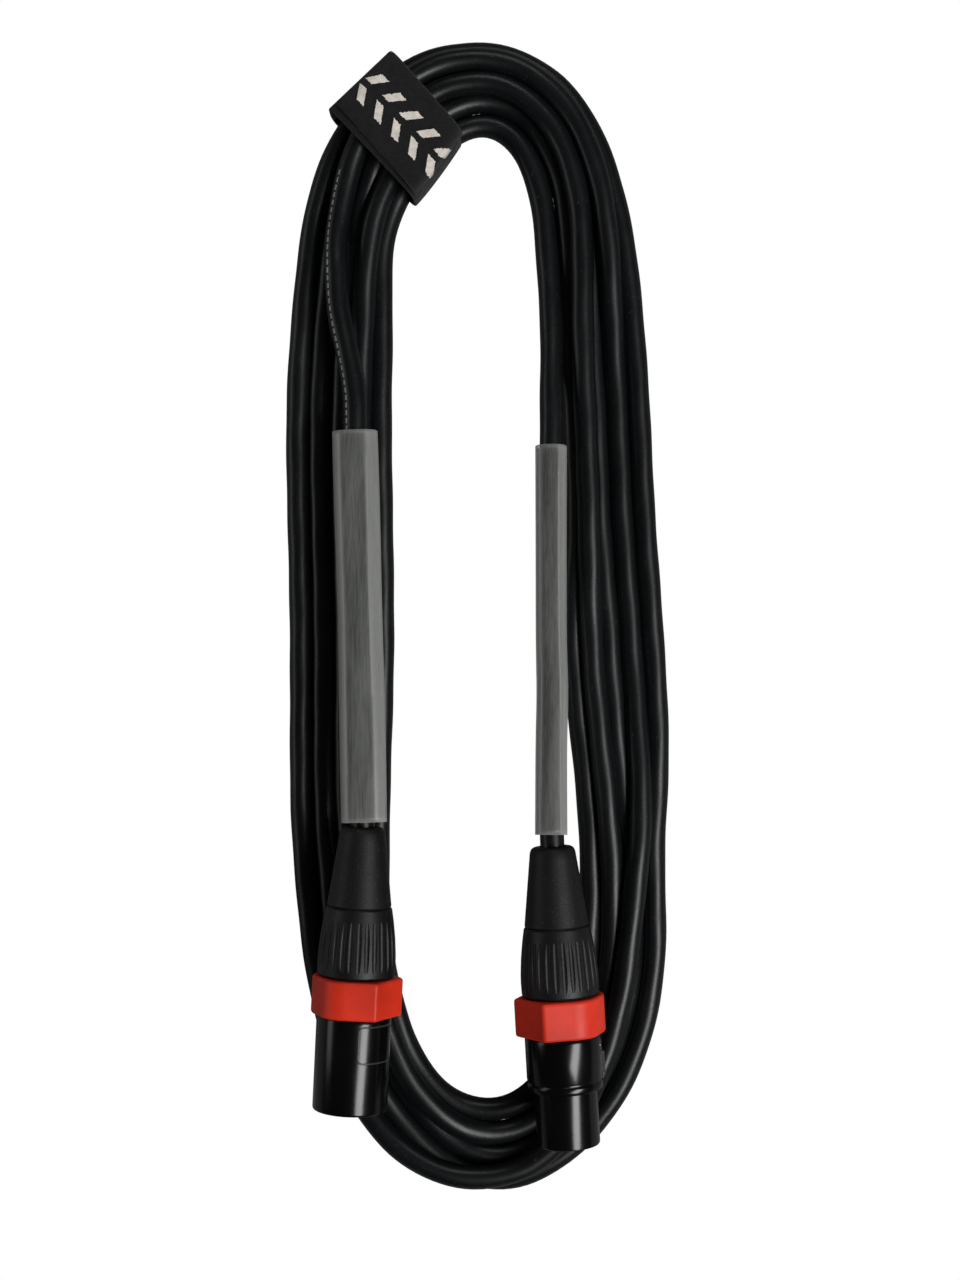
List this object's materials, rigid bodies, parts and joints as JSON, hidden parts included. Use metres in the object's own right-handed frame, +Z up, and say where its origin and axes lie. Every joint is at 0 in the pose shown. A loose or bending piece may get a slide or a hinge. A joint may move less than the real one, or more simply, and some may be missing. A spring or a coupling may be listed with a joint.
{
  "type": "xlr cable coil",
  "caption": "Black signal cable wound into a long flat loop, with a pin plug, a latching socket, red coding rings, clear label sleeves and a hook-and-loop strap.",
  "frame": {"origin": "middle of the coil's loop, on the surface it rests on", "axes": "+Z up out of the resting surface, +Y along the long side of the loop towards the strapped end, +X from the plug's side to the socket's side"},
  "size_m": [0.1014, 0.3025, 0.0331],
  "materials": {
    "jacket": "matte black flexible jacket, soft sheen",
    "braid": "tinned copper braid",
    "wire": "insulated cores and drain wire",
    "shell_black": "gloss black lacquered metal",
    "insert_black": "moulded glass-filled plastic",
    "contact_gold": "gold-flashed contacts",
    "spring_steel": "spring steel",
    "chuck_plastic": "pale moulded plastic",
    "ring_red": "semi-matte red moulded plastic",
    "nut_black": "fine-grained black plastic",
    "boot_black": "matte black rubber",
    "sleeve_clear": "frosted clear shrink tubing",
    "strap_black": "woven black hook-and-loop webbing"
  },
  "bodies": {
    "root": {"cable_jacket": "jacket", "cable_shield": "braid", "plug_conductors": "wire", "socket_conductors": "wire", "plug_shell": "shell_black", "plug_insert": "insert_black", "plug_pins": "contact_gold", "plug_ground_spring": "spring_steel", "plug_chuck": "chuck_plastic", "socket_shell": "shell_black", "socket_insert": "insert_black", "socket_contacts": "contact_gold", "socket_ground_spring": "spring_steel", "socket_chuck": "chuck_plastic", "latch_pin": "spring_steel", "latch_spring": "spring_steel", "strap_band": "strap_black"},
    "plug_nut_carrier": {"plug_coding_ring": "ring_red"},
    "plug_nut": {"plug_back_nut": "nut_black", "plug_boot": "boot_black"},
    "plug_sleeve": {"plug_label_sleeve": "sleeve_clear"},
    "socket_nut_carrier": {"socket_coding_ring": "ring_red"},
    "socket_nut": {"socket_back_nut": "nut_black", "socket_boot": "boot_black"},
    "socket_sleeve": {"socket_label_sleeve": "sleeve_clear"},
    "latch": {"socket_latch": "insert_black"},
    "tail": {"strap_tail": "strap_black"}
  },
  "joints": [
    {"name": "plug_nut_travel", "type": "slide", "parent": "root", "child": "plug_nut_carrier", "axis": [0.0471, 0.9989, 0], "range_m": [0, 0.003]},
    {"name": "plug_nut_turn", "type": "hinge", "parent": "plug_nut_carrier", "child": "plug_nut", "pos_m": [-0.03081, -0.08397, 0.0221], "axis": [0.0471, 0.9989, 0], "range_deg": [0, 720]},
    {"name": "plug_sleeve_slide", "type": "slide", "parent": "plug_nut_carrier", "child": "plug_sleeve", "axis": [-0.0254, 0.9978, -0.0617], "range_m": [0, 0.006]},
    {"name": "socket_nut_travel", "type": "slide", "parent": "root", "child": "socket_nut_carrier", "axis": [-0.0558, 0.9984, 0], "range_m": [0, 0.003]},
    {"name": "socket_nut_turn", "type": "hinge", "parent": "socket_nut_carrier", "child": "socket_nut", "pos_m": [0.02028, -0.08895, 0.0221], "axis": [-0.0558, 0.9984, 0], "range_deg": [0, 720]},
    {"name": "socket_sleeve_slide", "type": "slide", "parent": "socket_nut_carrier", "child": "socket_sleeve", "axis": [0.0035, 0.9951, -0.0988], "range_m": [0, 0.006]},
    {"name": "latch_press", "type": "hinge", "parent": "root", "child": "latch", "pos_m": [0.03019, -0.10868, 0.0221], "axis": [0, 0, -1], "range_deg": [0, 6]},
    {"name": "strap_peel", "type": "hinge", "parent": "root", "child": "tail", "pos_m": [-0.03016, 0.13781, 0.01405], "axis": [-0.7254, -0.6884, 0], "range_deg": [0, 75]}
  ],
  "couplings": [
    {"joint": "plug_nut_travel", "follows": "plug_nut_turn", "m_per_rad": 0.00023873},
    {"joint": "socket_nut_travel", "follows": "socket_nut_turn", "m_per_rad": 0.00023873}
  ]
}
